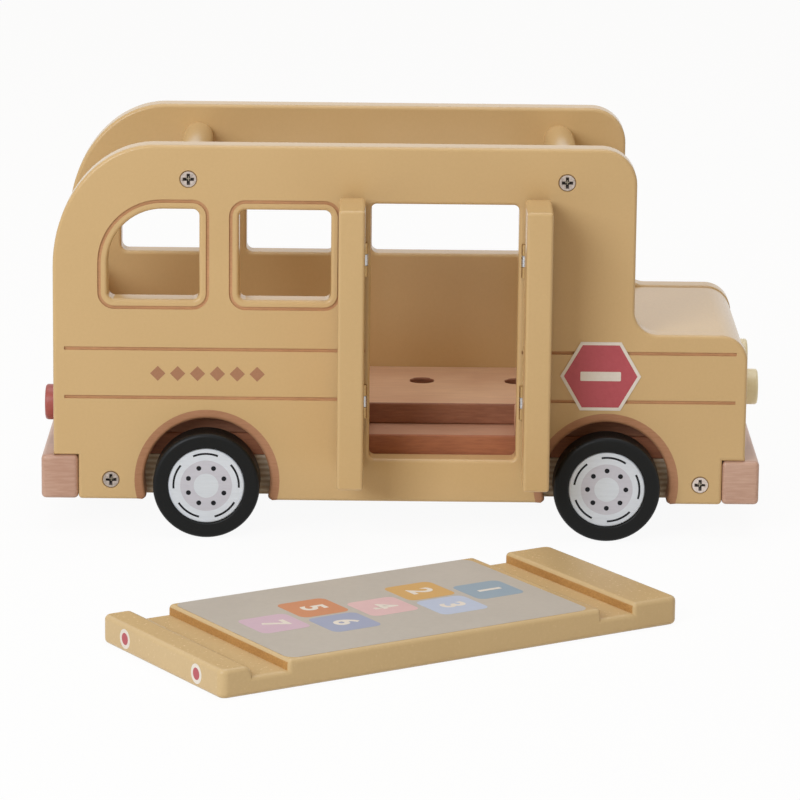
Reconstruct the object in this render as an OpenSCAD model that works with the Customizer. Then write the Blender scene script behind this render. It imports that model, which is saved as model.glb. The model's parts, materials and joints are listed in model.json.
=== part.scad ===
// Wooden toy bus: two side panels on a plywood chassis, an open roof with two rails,
// a pair of swinging door leaves, wheels on turning axles and a loose roof board.
// The origin is on the ground, midway between the axles, in the centre plane.
// +X runs to the front of the bus, +Y to the side away from the doors, +Z up.

/* [Body] */
// Length of the body behind the rear axle
rear_overhang = 68.25; // [60:0.25:80]
// Length of the body ahead of the front axle
front_overhang = 61.75; // [58:0.25:72]
// Length of the bonnet ahead of the cabin
bonnet_length = 50.5; // [44:0.5:58]
// Width over the side panels
body_width = 122; // [110:1:140]
// Thickness of the side panels
panel_thickness = 12; // [10:0.5:14]
// Height of the side panels from their lower edge to the roof line
panel_height = 160; // [150:0.5:180]
// Height of the bonnet's sides above the lower edge
bonnet_height = 77; // [72:0.5:84]
// Length of the roof line's rear corner, a quarter of an ellipse
rear_corner_length = 45; // [36:1:54]
// Height of the roof line's rear corner
rear_corner_height = 55; // [44:1:60]
// Radius of the roof line's front corner
front_corner_radius = 16; // [8:0.5:20]
// Fillet between the cabin's front edge and the bonnet
bonnet_fillet_radius = 10.5; // [6:0.5:14]
// Radius of the bonnet's front corner
bonnet_corner_radius = 12; // [8:0.5:16]
// Radius of the panels' small lower corners
lower_corner_radius = 2.5; // [1:0.25:4]
// Thickness of the rear wall and the front board
board_thickness = 12; // [10:0.5:14]
// Height of the rear wall above the lower edge
rear_wall_height = 88; // [70:1:100]
// Thickness of the bonnet's top board
bonnet_board_thickness = 12; // [10:0.5:14]
// Distance that the cross boards lie inside the panels' outline
board_inset = 0.5; // [0.2:0.1:1.5]

/* [Windows] */
// Distance from the rear edge to the first window
first_window_setback = 24.2; // [20:0.1:28]
// Width of the wall between a window and the next opening
pillar_width = 17.5; // [14:0.5:22]
// Distance of the driver's window from the cabin's front edge, on the side without doors
driver_window_setback = 34.8; // [28:0.1:44]
// Height of the wall above the windows
window_header = 28.5; // [24:0.5:34]
// Height of the window sills above the lower edge
window_sill_height = 91; // [86:0.5:94]
// Radius of the windows' corners
window_corner_radius = 3; // [1.5:0.25:5]
// Radius of the rear window's arched corner
window_arch_radius = 24.5; // [16:0.5:28]

/* [Routed lines] */
// Width of the routed lines
line_width = 1.5; // [1:0.1:2]
// Depth of the routed lines
line_depth = 0.8; // [0.4:0.1:1.2]
// Distance from a window to the line around it
line_margin = 2.9; // [2:0.1:4]
// Distance of the upper stripe below the bonnet's upper edge
upper_stripe_drop = 8.3; // [6:0.1:12]
// Distance of the lower stripe below the upper one
stripe_pitch = 22; // [18:0.1:26]
// Distance of the stripes' ends from the body's ends
stripe_setback = 5; // [3:0.5:8]
// Distance of the stripes' ends from the doorway
stripe_door_gap = 2; // [1.5:0.1:4]

/* [Doors] */
// Width of the doorway
doorway_width = 65.2; // [58:0.1:68]
// Height of the wall above the doorway
doorway_header = 25.3; // [22:0.1:30]
// Height of the doorway's sill above the chassis board
sill_rise = 1.5; // [0.5:0.1:3]
// Gap between the open front leaf and the front tyre
door_wheel_gap = 2.7; // [2:0.1:5]
// Radius of the doorway's corners
doorway_corner_radius = 2.5; // [1:0.25:4]
// Thickness of the door leaves
leaf_thickness = 11.5; // [9:0.5:13]
// Overlap of the leaves above the doorway
leaf_top_overlap = 3.5; // [2:0.25:5]
// Overlap of the leaves below the doorway's sill
leaf_bottom_overlap = 5.7; // [3:0.1:8]
// Gap between the two closed leaves
leaf_gap = 1.5; // [1:0.1:3]
// Distance from the doorway's edge to the hinge axis
hinge_setback = 2.4; // [2:0.1:3.5]
// Length of the hinges
hinge_length = 15; // [13:0.5:22]
// Width of the hinge flaps
flap_width = 9; // [7:0.25:10]
// Thickness of the hinge flaps
flap_thickness = 0.7; // [0.6:0.05:0.9]
// Diameter of the hinge barrels
barrel_diameter = 2.6; // [2.4:0.1:3]
// Diameter of the hinge pins
hinge_pin_diameter = 1.3; // [1:0.05:1.5]
// Distance of the upper hinges below the top of the leaves
upper_hinge_drop = 28; // [20:0.5:36]
// Distance of the lower hinges above the bottom of the leaves
lower_hinge_rise = 32.5; // [20:0.5:40]
// Shank diameter of the hinge screws
hinge_screw_diameter = 1.8; // [1.4:0.1:2.2]
// Head diameter of the hinge screws
hinge_screw_head = 3.4; // [2.8:0.1:4]
// Length of the hinge screws' shanks
hinge_screw_length = 8; // [5:0.5:10]

/* [Floor] */
// Thickness of the chassis board
chassis_thickness = 18; // [16:0.5:20]
// Thickness of the step board
step_thickness = 10; // [8:0.5:12]
// Thickness of the floor board
floor_thickness = 9.5; // [8:0.5:12]
// Depth of the notch in the floor board at the door
door_notch_depth = 21.5; // [16:0.5:22]
// Diameter of the peg holes
peg_hole_diameter = 11; // [9:0.25:12]
// Distance from the rear edge to the first pair of peg holes
first_peg_setback = 46; // [42:0.5:50]
// Distance from one pair of peg holes to the next
peg_pitch = 59; // [54:0.5:60]
// Gap between the driver's peg hole and the front roof rail, seen from above
driver_peg_gap = 6; // [4:0.5:14]
// Distance of the peg holes from the centre plane
peg_offset = 19.5; // [16:0.5:20]

/* [Roof] */
// Diameter of the roof rails
rail_diameter = 14; // [12:0.25:16]
// Distance of the roof rails below the roof line
rail_drop = 15; // [13:0.5:18]
// Distance of the rear rail from the body's rear edge
rear_rail_setback = 59.9; // [54:0.1:66]
// Distance of the front rail from the cabin's front edge
front_rail_setback = 30.8; // [26:0.1:36]
// Thickness of the roof board
roof_thickness = 12; // [10:0.5:14]
// Gap between the roof board and each side panel
roof_side_gap = 0.5; // [0.5:0.1:2]
// Length of the roof board behind its rear groove
roof_rear_end = 14.9; // [12:0.1:22]
// Length of the roof board ahead of its front groove
roof_front_end = 22.8; // [14:0.1:26]
// Depth of the grooves that seat on the rails
groove_depth = 4.5; // [3:0.25:6]
// Play of a rail in its groove, on each side
groove_play = 1; // [0.3:0.1:1.5]
// Distance from the body's side to the middle of the loose roof board
roof_distance = 162; // [155:0.1:200]
// Place of the loose roof board's middle along the bus
roof_place = -5.8; // [-20:0.1:20]
// Turn of the loose roof board on the ground, in degrees
roof_turn = 32.2; // [0:0.1:40]

/* [Wheels] */
// Distance between the two axles
wheelbase = 177.5; // [168:0.5:195]
// Diameter of the tyres
wheel_diameter = 47.5; // [44:0.5:50]
// Width of the tyres
tyre_width = 15; // [12:0.5:18]
// Rounding of the tyres' shoulders
tyre_rounding = 3; // [1:0.25:4]
// Diameter of the wheel discs inside the tyres
disc_diameter = 34; // [28:0.5:38]
// Distance of the wheel discs' faces behind the tyres' faces
disc_recess = 0.8; // [0.4:0.1:1.5]
// Thickness of a wheel disc in front of its axle
disc_web = 3; // [2:0.25:5]
// Diameter of the axles
axle_diameter = 6; // [5:0.25:8]
// Diameter of the spacers between the chassis and the wheels
spacer_diameter = 14; // [10:0.5:18]
// Length from the chassis to the wheels
spacer_length = 7.5; // [6:0.25:9]
// Gap between the tyres and the wheel arches
arch_gap = 4.25; // [2.5:0.25:6]
// Width of the shallow routed rim around the wheel arches
arch_rim_width = 4.3; // [2:0.1:6]

/* [Bumpers and lamps] */
// Thickness of the bumper bars
bumper_depth = 16.5; // [14:0.25:18]
// Height of the bumper bars above the chassis board's upper face
bumper_rise = 2; // [1:0.25:4]
// Distance that the rear bumper stands out behind the body
rear_bumper_proud = 5.5; // [4:0.25:8]
// Distance that the front bumper stands out ahead of the body
front_bumper_proud = 6.5; // [4:0.25:8]
// Diameter of the lamps
lamp_diameter = 16; // [13:0.25:18]
// Distance of the lamps' middles from the side panels
lamp_inset = 17; // [13:0.5:22]
// Distance of the headlights' middles below the bonnet's upper edge
headlight_drop = 29.2; // [26:0.1:33]
// Distance that the headlights stand out of the front board
headlight_proud = 7.2; // [5:0.1:8]
// Height of the tail lamps' middles above the rear bumper
tail_lamp_rise = 17.6; // [14:0.1:24]
// Distance that the tail lamps stand out of the rear wall
tail_lamp_proud = 5.8; // [4:0.1:8]
// Diameter of the pegs that seat the lamps
lamp_peg_diameter = 8; // [5:0.25:9]
// Length of the pegs that seat the lamps
lamp_peg_length = 6; // [4:0.25:8]

/* [Fastenings and sign] */
// Head diameter of the panel screws
screw_head_diameter = 8; // [6.5:0.25:9]
// Depth of the panel screws' countersunk heads
screw_head_depth = 2.6; // [2:0.1:3.5]
// Shank diameter of the panel screws
screw_diameter = 4; // [3:0.25:5]
// Length of the panel screws
screw_length = 35; // [28:0.5:40]
// Length of the cross recess in the panel screws
recess_length = 4.6; // [3.5:0.1:5.5]
// Width of the cross recess in the panel screws
recess_width = 1; // [0.7:0.05:1.3]
// Depth of the cross recess in the panel screws
recess_depth = 1.4; // [0.8:0.1:1.8]
// Width of the sign across its flats
sign_width = 31; // [26:0.5:34]
// Thickness of the sign
sign_thickness = 0.4; // [0.2:0.05:1]
// Gap between the front door's hinges and the sign
sign_gap = 7.8; // [4:0.1:10]
// Distance of the sign's middle below the upper stripe
sign_drop = 10.4; // [8:0.1:14]

/* [Fits] */
// Radial clearance of a turning shaft
running_clearance = 0.08; // [0.03:0.01:0.1]
// Radial clearance of a glued or pressed seat
seat_clearance = 0.05; // [0.02:0.01:0.1]
// Gap between pieces that move past each other
moving_gap = 0.3; // [0.2:0.05:0.5]

/* [Hidden] */
$fn = 96;
// Overrun of every cut past the face that it starts from
overrun = 1;
paint = [0.79, 0.66, 0.44];
beech = [0.79, 0.62, 0.52];
plywood = [0.62, 0.53, 0.43];
steel = [0.72, 0.72, 0.74];
black = [0.11, 0.11, 0.10];
disc_white = [0.84, 0.85, 0.87];
lamp_red = [0.74, 0.40, 0.38];
lamp_yellow = [0.84, 0.80, 0.55];
sign_red = [0.72, 0.31, 0.35];
nylon = [0.90, 0.89, 0.86];

// Sides of the bus
left = 1;
right = -1;

// Heights above the ground
axle_z = wheel_diameter / 2;
base_z = axle_z - chassis_thickness / 2;
step_base_z = base_z + chassis_thickness;
floor_base_z = step_base_z + step_thickness;
rail_z = base_z + panel_height - rail_drop;
bonnet_z = base_z + bonnet_height;
bonnet_board_z = bonnet_z - board_inset - bonnet_board_thickness;
bumper_height = chassis_thickness + bumper_rise;
bumper_top_z = base_z + bumper_height;
sill_z = step_base_z + sill_rise;
doorway_height = base_z + panel_height - doorway_header - sill_z;
window_height = panel_height - window_sill_height - window_header;
upper_stripe_z = bonnet_z - upper_stripe_drop;
stripe_heights = [upper_stripe_z, upper_stripe_z - stripe_pitch];

// Places along the bus
rear_axle_x = -wheelbase / 2;
front_axle_x = wheelbase / 2;
rear_x = rear_axle_x - rear_overhang;
front_x = front_axle_x + front_overhang;
cabin_front_x = front_x - bonnet_length;
rear_rail_x = rear_x + rear_rail_setback;
front_rail_x = cabin_front_x - front_rail_setback;
front_hinge_x = front_axle_x - wheel_diameter / 2 - door_wheel_gap - leaf_thickness;
doorway_x = front_hinge_x - hinge_setback - doorway_width;
doorway_end_x = doorway_x + doorway_width;
rear_hinge_x = doorway_x - hinge_setback;
window_x = rear_x + first_window_setback;
window_pitch = (doorway_x - window_x) / 2;
window_width = window_pitch - pillar_width;
driver_window_width = cabin_front_x - driver_window_setback - doorway_x;
arch_radius = wheel_diameter / 2 + arch_gap;
arch_edge = arch_radius + arch_rim_width;
rear_bumper_inner_x = rear_x - rear_bumper_proud + bumper_depth;
front_bumper_inner_x = front_x + front_bumper_proud - bumper_depth;
rear_wall_inner_x = rear_x + board_inset + board_thickness;
front_board_inner_x = front_x - board_inset - board_thickness;
step_rear_x = max(rear_wall_inner_x, rear_bumper_inner_x);
step_front_x = min(front_board_inner_x, front_bumper_inner_x);

// Places across the bus
outer_y = body_width / 2;
inner_y = outer_y - panel_thickness;
wheel_inner_y = inner_y + spacer_length;
wheel_outer_y = wheel_inner_y + tyre_width;
axle_end_y = wheel_outer_y - disc_recess - disc_web;
lamp_offset = inner_y - lamp_inset;

// Door leaves and hinges, with each hinge axis in front of the door side's outer face
hinge_offset = barrel_diameter / 2 + moving_gap;
hinge_y = -outer_y - hinge_offset;
leaf_width = (front_hinge_x - rear_hinge_x - 2 * hinge_offset - leaf_gap) / 2;
leaf_base_z = sill_z - leaf_bottom_overlap;
leaf_height = leaf_bottom_overlap + doorway_height + leaf_top_overlap;
upper_hinge_z = leaf_base_z + leaf_height - upper_hinge_drop;
lower_hinge_z = leaf_base_z + lower_hinge_rise;
hinge_heights = [upper_hinge_z, lower_hinge_z];
knuckle_length = (hinge_length - 2 * moving_gap) / 3;
knuckle_recess = barrel_diameter / 2 + moving_gap;
hinge_screw_spread_share = 0.3;
hinge_screw_inset_share = 0.6;

// Roof board
rail_pitch = front_rail_x - rear_rail_x;
groove_width = rail_diameter + 2 * groove_play;
roof_length = rail_pitch + groove_width + roof_rear_end + roof_front_end;
grooves_middle = (roof_rear_end - roof_front_end) / 2;
roof_width = 2 * (inner_y - roof_side_gap);

// Sign, with one corner towards the front door's hinges
sign_diameter = sign_width / cos(30);
sign_x = front_hinge_x + flap_width + sign_gap + sign_diameter / 2;

// Panel screws: places along the bus and heights, the same on both sides.
// The lower ones lie between a bumper and the arch beside it.
lower_screw_shares = [0.58, 0.5];
rear_screw_room = rear_axle_x - arch_edge - rear_bumper_inner_x;
front_screw_room = front_bumper_inner_x - front_axle_x - arch_edge;
screw_places = [
    [rear_rail_x, rail_z],
    [front_rail_x, rail_z],
    [rear_bumper_inner_x + rear_screw_room * lower_screw_shares[0], axle_z],
    [front_bumper_inner_x - front_screw_room * lower_screw_shares[1], axle_z]
];

// Peg holes: pairs behind the doorway, one hole across from it and one for the driver
driver_peg_x = front_rail_x - rail_diameter / 2 - driver_peg_gap - peg_hole_diameter / 2;
peg_rows = [for (row = [0:2]) rear_x + first_peg_setback + row * peg_pitch];
peg_places = [
    for (row = [0, 1], side = [left, right]) [peg_rows[row], side * peg_offset],
    [peg_rows[2], left * peg_offset],
    [driver_peg_x, left * peg_offset]
];

// What a rounding takes off a corner at the origin, between +X and +Y
module corner_waste(radius) {
    difference() {
        translate([-overrun, -overrun]) square(radius + overrun);
        translate([radius, radius]) circle(radius);
    }
}

// Rectangle with its own radius at each corner: lower left, lower right, upper right, upper left
module rounded_rectangle(width, height, radii) {
    difference() {
        square([width, height]);
        corner_waste(radii[0]);
        translate([width, 0]) mirror([1, 0]) corner_waste(radii[1]);
        translate([width, height]) rotate(180) corner_waste(radii[2]);
        translate([0, height]) mirror([0, 1]) corner_waste(radii[3]);
    }
}

// Outline of a window, grown outwards by a margin; the rear one has an arched corner
module window_outline(place, width, arched, margin) {
    corner = window_corner_radius + margin;
    arch_room = min(width, window_height) - window_corner_radius;
    arch = arched ? min(window_arch_radius, arch_room) + margin : corner;
    translate([place - margin, base_z + window_sill_height - margin])
        rounded_rectangle(width + 2 * margin, window_height + 2 * margin, [corner, corner, corner, arch]);
}

// Line around a window
module window_line(place, width, arched) {
    difference() {
        window_outline(place, width, arched, line_margin + line_width);
        window_outline(place, width, arched, line_margin);
    }
}

// Two stripes along the body, from one place to another
module stripes(from, to) {
    for (z = stripe_heights)
        translate([from, z - line_width / 2]) square([to - from, line_width]);
}

// Side view of a panel, without its openings
module panel_outline() {
    cabin_length = cabin_front_x - rear_x;
    small = lower_corner_radius;
    difference() {
        union() {
            translate([rear_x, base_z])
                rounded_rectangle(cabin_length, panel_height,
                    [small, small, front_corner_radius, small]);
            translate([rear_x + rear_corner_length, base_z])
                rounded_rectangle(front_x - rear_x - rear_corner_length, bonnet_height,
                    [small, small, bonnet_corner_radius, small]);
            translate([cabin_front_x, bonnet_z]) corner_waste(bonnet_fillet_radius);
        }
        translate([rear_x, base_z + panel_height])
            scale([1, -rear_corner_height / rear_corner_length]) corner_waste(rear_corner_length);
        translate([rear_x - overrun, base_z - overrun])
            square([rear_bumper_inner_x + seat_clearance - rear_x + overrun,
                bumper_height + seat_clearance + overrun]);
        translate([front_bumper_inner_x - seat_clearance, base_z - overrun])
            square([front_x - front_bumper_inner_x + seat_clearance + overrun,
                bumper_height + seat_clearance + overrun]);
    }
}

// Stands a side view up on one side of the bus, from a distance out of the centre plane
module upright(side, from, thickness) {
    translate([0, side * from, 0])
        rotate([90, 0, 0])
            mirror([0, 0, side == left ? 1 : 0])
                linear_extrude(thickness) children();
}

// Puts a piece on one side of the bus with its own +Z pointing out of that side
module side_facing(x, side, from, z) {
    translate([x, side * from, z]) rotate([-side * 90, 0, 0]) children();
}

// Countersunk screw pointing to -Z, with the top of its head at the origin
module screw_body(head, head_depth, shank, length, clearance) {
    translate([0, 0, -head_depth])
        cylinder(h = head_depth, d1 = shank + 2 * clearance, d2 = head + 2 * clearance);
    translate([0, 0, -length - clearance])
        cylinder(h = length + clearance - head_depth / 2, d = shank + 2 * clearance);
}

module panel_screw_body(clearance) {
    screw_body(screw_head_diameter, screw_head_depth, screw_diameter, screw_length, clearance);
}

// Holes for the panel screws, on both sides
module panel_screw_holes() {
    for (side = [left, right], place = screw_places)
        side_facing(place[0], side, outer_y, place[1]) panel_screw_body(seat_clearance);
}

// Cuts that both side panels share
module panel_cuts(side) {
    upright(side, inner_y - overrun, panel_thickness + 2 * overrun) {
        for (i = [0, 1]) window_outline(window_x + i * window_pitch, window_width, i == 0, 0);
    }
    upright(side, outer_y - line_depth, line_depth + overrun) {
        for (i = [0, 1]) window_line(window_x + i * window_pitch, window_width, i == 0);
    }
    for (x = [rear_axle_x, front_axle_x]) {
        side_facing(x, side, inner_y - overrun, axle_z)
            cylinder(h = panel_thickness + 2 * overrun, r = arch_radius);
        side_facing(x, side, outer_y - line_depth, axle_z)
            cylinder(h = line_depth + overrun, r = arch_edge);
    }
    panel_screw_holes();
}

// Places a door's own frame: its origin is on the hinge axis, its panel lies at +Y,
// and the open leaf and the flaps lie at -X. The front door is the rear one's mirror image.
module door_place(door) {
    if (door == "rear")
        translate([rear_hinge_x, hinge_y, 0]) children();
    else
        translate([front_hinge_x, hinge_y, 0]) mirror([1, 0, 0]) children();
}

// Screws of one hinge flap, whose back lies at hinge_offset from the axis
module flap_screws(clearance) {
    for (end = [-1, 1])
        translate([-flap_width * hinge_screw_inset_share, hinge_offset - flap_thickness,
            end * hinge_length * hinge_screw_spread_share])
            rotate([90, 0, 0])
                screw_body(hinge_screw_head, flap_thickness, hinge_screw_diameter, hinge_screw_length,
                    clearance);
}

// Screws in the panel beside the doorway
module frame_screws(door, clearance) {
    for (z = hinge_heights)
        door_place(door) translate([0, 0, z]) flap_screws(clearance);
}

// Screws in the edge of a door leaf
module leaf_screws(door, clearance) {
    for (z = hinge_heights)
        door_place(door) translate([0, 0, z]) mirror([0, 1, 0]) flap_screws(clearance);
}

// Hinge flap on the +Y side of its axis, with knuckles at the given places in knuckle lengths
module hinge_flap(knuckles, free_places, clearance) {
    step = knuckle_length + moving_gap;
    difference() {
        union() {
            translate([-flap_width, hinge_offset - flap_thickness, -hinge_length / 2])
                cube([flap_width, flap_thickness, hinge_length]);
            for (place = knuckles)
                translate([0, 0, place * step - knuckle_length / 2])
                    cylinder(h = knuckle_length, d = barrel_diameter);
        }
        for (place = free_places)
            translate([-knuckle_recess, -hinge_offset, place * step - knuckle_length / 2 - moving_gap])
                cube([knuckle_recess + overrun, 2 * hinge_offset, knuckle_length + 2 * moving_gap]);
        translate([0, 0, -hinge_length / 2 - overrun])
            cylinder(h = hinge_length + 2 * overrun, d = hinge_pin_diameter + 2 * clearance);
        flap_screws(seat_clearance);
    }
}

module frame_flap(door, z) {
    color(steel) door_place(door) translate([0, 0, z]) hinge_flap([-1, 1], [0], seat_clearance);
}

module door_flap(door, z) {
    color(steel)
        door_place(door) translate([0, 0, z]) mirror([0, 1, 0]) hinge_flap([0], [-1, 1], running_clearance);
}

module hinge_pin(door, z) {
    color(steel)
        door_place(door) translate([0, 0, z - hinge_length / 2])
            cylinder(h = hinge_length, d = hinge_pin_diameter);
}

module frame_flap_screws() {
    color(steel) for (door = ["rear", "front"]) frame_screws(door, 0);
}

module door_screws(door) {
    color(steel) leaf_screws(door, 0);
}

module door_leaf(door) {
    color(paint) difference() {
        door_place(door)
            translate([-leaf_thickness, -hinge_offset - leaf_width, leaf_base_z])
                cube([leaf_thickness, leaf_width, leaf_height]);
        leaf_screws(door, seat_clearance);
    }
}

module side_panel_door() {
    color(paint) difference() {
        upright(right, inner_y, panel_thickness) panel_outline();
        panel_cuts(right);
        upright(right, inner_y - overrun, panel_thickness + 2 * overrun)
            translate([doorway_x, sill_z])
                rounded_rectangle(doorway_width, doorway_height, [for (i = [1:4]) doorway_corner_radius]);
        upright(right, outer_y - line_depth, line_depth + overrun) {
            stripes(rear_x + stripe_setback, doorway_x - stripe_door_gap);
            stripes(doorway_end_x + stripe_door_gap, front_x - stripe_setback);
        }
        for (door = ["rear", "front"]) frame_screws(door, seat_clearance);
    }
}

module side_panel_window() {
    color(paint) difference() {
        upright(left, inner_y, panel_thickness) panel_outline();
        panel_cuts(left);
        upright(left, inner_y - overrun, panel_thickness + 2 * overrun)
            window_outline(doorway_x, driver_window_width, false, 0);
        upright(left, outer_y - line_depth, line_depth + overrun) {
            window_line(doorway_x, driver_window_width, false);
            stripes(rear_x + stripe_setback, front_x - stripe_setback);
        }
    }
}

module chassis_board() {
    color(plywood) difference() {
        translate([rear_bumper_inner_x, -inner_y, base_z])
            cube([front_bumper_inner_x - rear_bumper_inner_x, 2 * inner_y, chassis_thickness]);
        for (x = [rear_axle_x, front_axle_x])
            side_facing(x, left, -inner_y - overrun, axle_z)
                cylinder(h = 2 * (inner_y + overrun), d = axle_diameter + 2 * running_clearance);
        panel_screw_holes();
    }
}

module step_board() {
    color(beech)
        translate([step_rear_x, -inner_y, step_base_z])
            cube([step_front_x - step_rear_x, 2 * inner_y, step_thickness]);
}

module floor_board() {
    color(beech) difference() {
        translate([rear_wall_inner_x, -inner_y, floor_base_z])
            cube([front_board_inner_x - rear_wall_inner_x, 2 * inner_y, floor_thickness]);
        translate([doorway_x, -inner_y - overrun, floor_base_z - overrun])
            cube([doorway_width, door_notch_depth + overrun, floor_thickness + 2 * overrun]);
        for (place = peg_places)
            translate([place[0], place[1], floor_base_z - overrun])
                cylinder(h = floor_thickness + 2 * overrun, d = peg_hole_diameter);
    }
}

// Turned lamp pointing to +X, with its seat at the origin
module lamp_body(proud) {
    rotate([0, 90, 0]) cylinder(h = proud, d = lamp_diameter);
    translate([-lamp_peg_length, 0, 0])
        rotate([0, 90, 0]) cylinder(h = lamp_peg_length + proud / 2, d = lamp_peg_diameter);
}

module lamp_seats(x, direction, z) {
    length = lamp_peg_length + seat_clearance + overrun;
    for (side = [left, right])
        translate([x + direction * overrun, side * lamp_offset, z])
            rotate([0, -direction * 90, 0]) cylinder(h = length, d = lamp_peg_diameter + 2 * seat_clearance);
}

module rear_wall() {
    color(paint) difference() {
        translate([rear_x + board_inset, -inner_y, bumper_top_z])
            cube([board_thickness, 2 * inner_y, base_z + rear_wall_height - bumper_top_z]);
        lamp_seats(rear_x + board_inset, -1, bumper_top_z + tail_lamp_rise);
    }
}

module front_board() {
    color(paint) difference() {
        translate([front_board_inner_x, -inner_y, bumper_top_z])
            cube([board_thickness, 2 * inner_y, bonnet_board_z - bumper_top_z]);
        lamp_seats(front_x - board_inset, 1, bonnet_z - headlight_drop);
    }
}

module bonnet_top() {
    rounding = min(bonnet_corner_radius, bonnet_board_thickness) - board_inset;
    length = bonnet_length - board_inset;
    color(paint)
        upright(right, -inner_y, 2 * inner_y)
            translate([cabin_front_x, bonnet_board_z])
                difference() {
                    square([length, bonnet_board_thickness]);
                    translate([length, bonnet_board_thickness]) rotate(180) corner_waste(rounding);
                }
}

module roof_rail(x) {
    color(paint) difference() {
        side_facing(x, left, -inner_y, rail_z) cylinder(h = 2 * inner_y, d = rail_diameter);
        panel_screw_holes();
    }
}

module bumper(x) {
    color(beech) translate([x, -outer_y, base_z]) cube([bumper_depth, 2 * outer_y, bumper_height]);
}

module headlight(side) {
    color(lamp_yellow)
        translate([front_x - board_inset, side * lamp_offset, bonnet_z - headlight_drop])
            lamp_body(headlight_proud);
}

module tail_lamp(side) {
    color(lamp_red)
        translate([rear_x + board_inset, side * lamp_offset, bumper_top_z + tail_lamp_rise])
            rotate([0, 0, 180]) lamp_body(tail_lamp_proud);
}

module panel_screws() {
    color(steel)
        for (side = [left, right], place = screw_places)
            side_facing(place[0], side, outer_y, place[1])
                difference() {
                    panel_screw_body(0);
                    for (turn = [0, 90])
                        rotate([0, 0, turn])
                            translate([-recess_length / 2, -recess_width / 2, -recess_depth])
                                cube([recess_length, recess_width, recess_depth + overrun]);
                }
}

module sign() {
    color(sign_red)
        side_facing(sign_x, right, outer_y, upper_stripe_z - sign_drop)
            cylinder(h = sign_thickness, d = sign_diameter, $fn = 6);
}

module axle(x) {
    color(steel)
        side_facing(x, left, -axle_end_y, axle_z) cylinder(h = 2 * axle_end_y, d = axle_diameter);
}

module disc(x, side) {
    depth = tyre_width - disc_recess;
    bore_depth = depth - disc_web + seat_clearance;
    color(disc_white)
        side_facing(x, side, wheel_inner_y, axle_z)
            difference() {
                cylinder(h = depth, d = disc_diameter);
                translate([0, 0, -overrun])
                    cylinder(h = bore_depth + overrun, d = axle_diameter + 2 * seat_clearance);
            }
}

module tyre(x, side) {
    inside = disc_diameter / 2 + seat_clearance;
    wall = wheel_diameter / 2 - inside;
    color(black)
        side_facing(x, side, wheel_inner_y, axle_z)
            rotate_extrude()
                translate([inside, 0])
                    difference() {
                        square([wall, tyre_width]);
                        translate([wall, 0]) mirror([1, 0]) corner_waste(tyre_rounding);
                        translate([wall, tyre_width]) rotate(180) corner_waste(tyre_rounding);
                    }
}

module spacer(x, side) {
    color(nylon)
        side_facing(x, side, inner_y + moving_gap, axle_z)
            difference() {
                cylinder(h = spacer_length - moving_gap, d = spacer_diameter);
                translate([0, 0, -overrun])
                    cylinder(h = spacer_length + 2 * overrun, d = axle_diameter + 2 * seat_clearance);
            }
}

// Roof board as it lies on the ground, with its grooves up
module roof_board() {
    color(paint)
        translate([roof_place, -outer_y - roof_distance, 0])
            rotate([0, 0, roof_turn])
                difference() {
                    translate([-roof_length / 2, -roof_width / 2, 0])
                        cube([roof_length, roof_width, roof_thickness]);
                    for (end = [-1, 1])
                        translate([grooves_middle + end * rail_pitch / 2 - groove_width / 2,
                            -roof_width / 2 - overrun, roof_thickness - groove_depth])
                            cube([groove_width, roof_width + 2 * overrun, groove_depth + overrun]);
                }
}

side_panel_door();
side_panel_window();
chassis_board();
step_board();
floor_board();
rear_wall();
front_board();
bonnet_top();
roof_rail(rear_rail_x);  // roof_rail_rear
roof_rail(front_rail_x);  // roof_rail_front
bumper(rear_x - rear_bumper_proud);  // rear_bumper
bumper(front_bumper_inner_x);  // front_bumper
headlight(left);  // headlight_left
headlight(right);  // headlight_right
tail_lamp(left);  // tail_lamp_left
tail_lamp(right);  // tail_lamp_right
panel_screws();
sign();
frame_flap("rear", upper_hinge_z);  // rear_upper_frame_flap
frame_flap("rear", lower_hinge_z);  // rear_lower_frame_flap
frame_flap("front", upper_hinge_z);  // front_upper_frame_flap
frame_flap("front", lower_hinge_z);  // front_lower_frame_flap
hinge_pin("rear", upper_hinge_z);  // rear_upper_hinge_pin
hinge_pin("rear", lower_hinge_z);  // rear_lower_hinge_pin
hinge_pin("front", upper_hinge_z);  // front_upper_hinge_pin
hinge_pin("front", lower_hinge_z);  // front_lower_hinge_pin
frame_flap_screws();
door_leaf("rear");  // rear_door_leaf
door_flap("rear", upper_hinge_z);  // rear_upper_door_flap
door_flap("rear", lower_hinge_z);  // rear_lower_door_flap
door_screws("rear");  // rear_door_screws
door_leaf("front");  // front_door_leaf
door_flap("front", upper_hinge_z);  // front_upper_door_flap
door_flap("front", lower_hinge_z);  // front_lower_door_flap
door_screws("front");  // front_door_screws
axle(rear_axle_x);  // rear_axle
disc(rear_axle_x, left);  // rear_left_disc
disc(rear_axle_x, right);  // rear_right_disc
tyre(rear_axle_x, left);  // rear_left_tyre
tyre(rear_axle_x, right);  // rear_right_tyre
spacer(rear_axle_x, left);  // rear_left_spacer
spacer(rear_axle_x, right);  // rear_right_spacer
axle(front_axle_x);  // front_axle
disc(front_axle_x, left);  // front_left_disc
disc(front_axle_x, right);  // front_right_disc
tyre(front_axle_x, left);  // front_left_tyre
tyre(front_axle_x, right);  // front_right_tyre
spacer(front_axle_x, left);  // front_left_spacer
spacer(front_axle_x, right);  // front_right_spacer
roof_board();
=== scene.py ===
"""Looks of a wooden toy bus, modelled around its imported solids.

Sizes are in millimetres, times MM for Blender's metres, in the frame of the solids:
+X runs to the front of the bus, +Y to the side away from the doors, +Z up.
"""

import json
import math
from contextlib import contextmanager

import bmesh
import bpy
from mathutils import Matrix, Vector


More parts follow.
